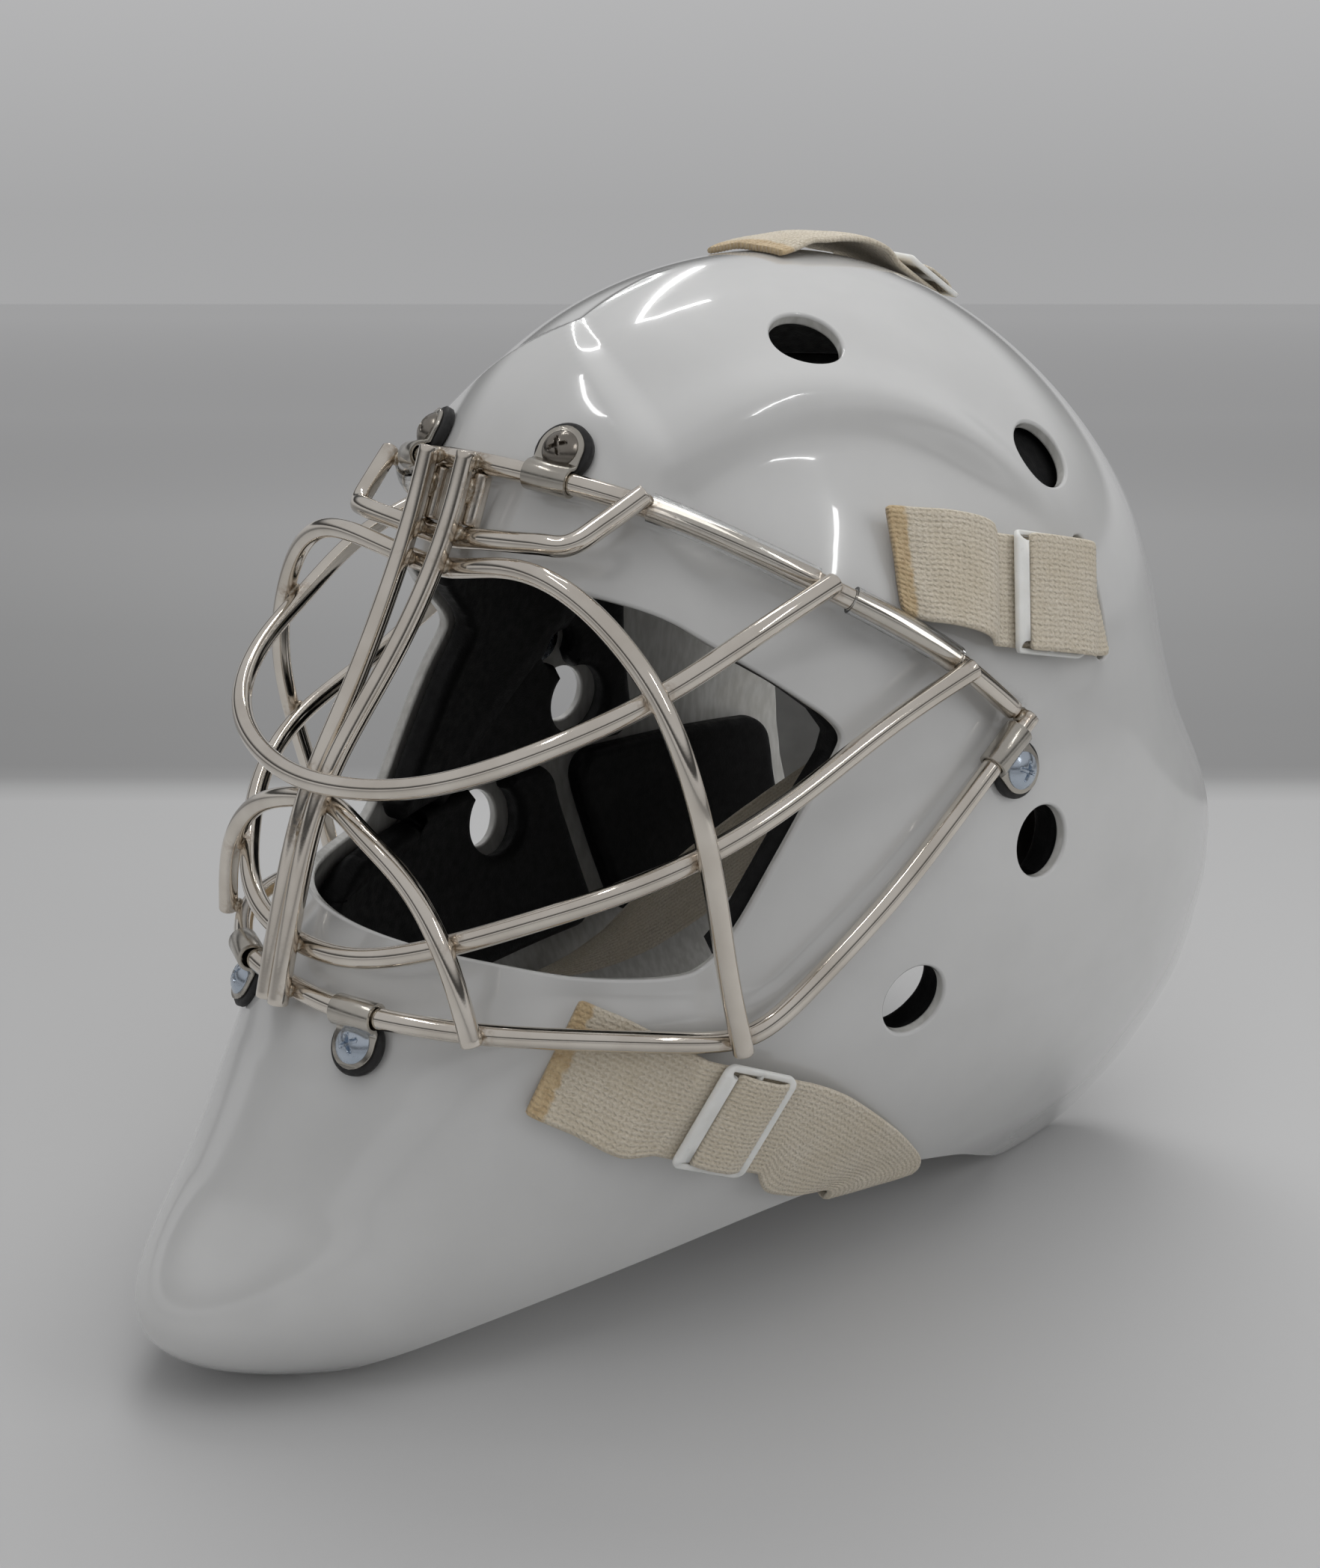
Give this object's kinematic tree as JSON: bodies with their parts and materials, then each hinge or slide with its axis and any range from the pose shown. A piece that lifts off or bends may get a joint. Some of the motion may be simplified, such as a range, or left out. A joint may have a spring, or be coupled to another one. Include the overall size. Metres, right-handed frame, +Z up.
{
  "type": "goalie mask",
  "caption": "Hockey goalie mask: glossy moulded shell with a welded wire cage, foam liner, padded back plate and adjustable elastic straps.",
  "frame": {"origin": "centre of the bounding box in plan, at the level of the surface it rests on", "axes": "+Z up; -Y is the way the mask faces; +X is the wearer's left"},
  "size_m": [0.2432, 0.3587, 0.3176],
  "materials": {
    "laminate": "gloss gel coat over laminate",
    "wire": "polished stainless wire",
    "clear_sleeve": "clear tube",
    "rubber": "matt",
    "clip_steel": "plated sheet",
    "dark_nickel": "dark nickel plate",
    "zinc": "blue zinc plate",
    "elastic": "knitted elastic",
    "slide_plastic": "satin moulding",
    "plate_plastic": "satin moulding",
    "foam": "closed-cell foam, matt"
  },
  "bodies": {
    "mask": {"shell": "laminate", "cage_top_bar": "wire", "cage_lower_bar": "wire", "visor_bar": "wire", "visor_stubs": "wire", "centre_bar_left": "wire", "centre_bar_right": "wire", "eye_ring": "wire", "upper_cross_bar": "wire", "lower_cross_bar": "wire", "mouth_arc": "wire", "front_sleeve_left": "clear_sleeve", "front_sleeve_right": "clear_sleeve", "rear_sleeve_left": "clear_sleeve", "rear_sleeve_right": "clear_sleeve", "forehead_clips": "clip_steel", "side_clips": "clip_steel", "chin_clips": "clip_steel", "forehead_clip_pads": "rubber", "side_clip_pads": "rubber", "chin_clip_pads": "rubber", "forehead_screws": "dark_nickel", "side_screws": "zinc", "chin_screws": "zinc", "tee_nuts": "zinc", "forehead_pad": "foam", "crown_pad": "foam", "temple_pad_left": "foam", "temple_pad_right": "foam", "jaw_pad_left": "foam", "jaw_pad_right": "foam", "rear_pad_left": "foam", "rear_pad_right": "foam", "chin_cup": "foam", "crown_strap": "elastic", "temple_strap_left": "elastic", "temple_strap_right": "elastic", "jaw_strap_left": "elastic", "jaw_strap_right": "elastic"},
    "back_plate": {"back_plate": "plate_plastic", "back_pad": "foam"},
    "crown_slide": {"crown_slide": "slide_plastic"},
    "temple_slide_left": {"temple_slide_left": "slide_plastic"},
    "temple_slide_right": {"temple_slide_right": "slide_plastic"},
    "jaw_slide_left": {"jaw_slide_left": "slide_plastic"},
    "jaw_slide_right": {"jaw_slide_right": "slide_plastic"}
  },
  "joints": [
    {"name": "back_plate_lift", "type": "hinge", "parent": "mask", "child": "back_plate", "pos_m": [0, 0.15, 0.278], "axis": [1, 0, 0], "range_deg": [0, 20], "stiffness_Nm_per_rad": 0.8, "springref_deg": -14.32, "deforming": ["crown_strap", "temple_strap_left", "temple_strap_right", "jaw_strap_left", "jaw_strap_right"]},
    {"name": "crown_slide_move", "type": "slide", "parent": "mask", "child": "crown_slide", "axis": [0, 0.8848, -0.4659], "range_m": [-0.004, 0.004]},
    {"name": "temple_slide_left_move", "type": "slide", "parent": "mask", "child": "temple_slide_left", "axis": [0.1301, 0.9711, -0.2002], "range_m": [-0.004, 0.004]},
    {"name": "temple_slide_right_move", "type": "slide", "parent": "mask", "child": "temple_slide_right", "axis": [-0.1301, 0.9711, -0.2002], "range_m": [-0.004, 0.004]},
    {"name": "jaw_slide_left_move", "type": "slide", "parent": "mask", "child": "jaw_slide_left", "axis": [0.1858, 0.8931, -0.4096], "range_m": [-0.004, 0.004]},
    {"name": "jaw_slide_right_move", "type": "slide", "parent": "mask", "child": "jaw_slide_right", "axis": [-0.1858, 0.8931, -0.4096], "range_m": [-0.004, 0.004]}
  ]
}
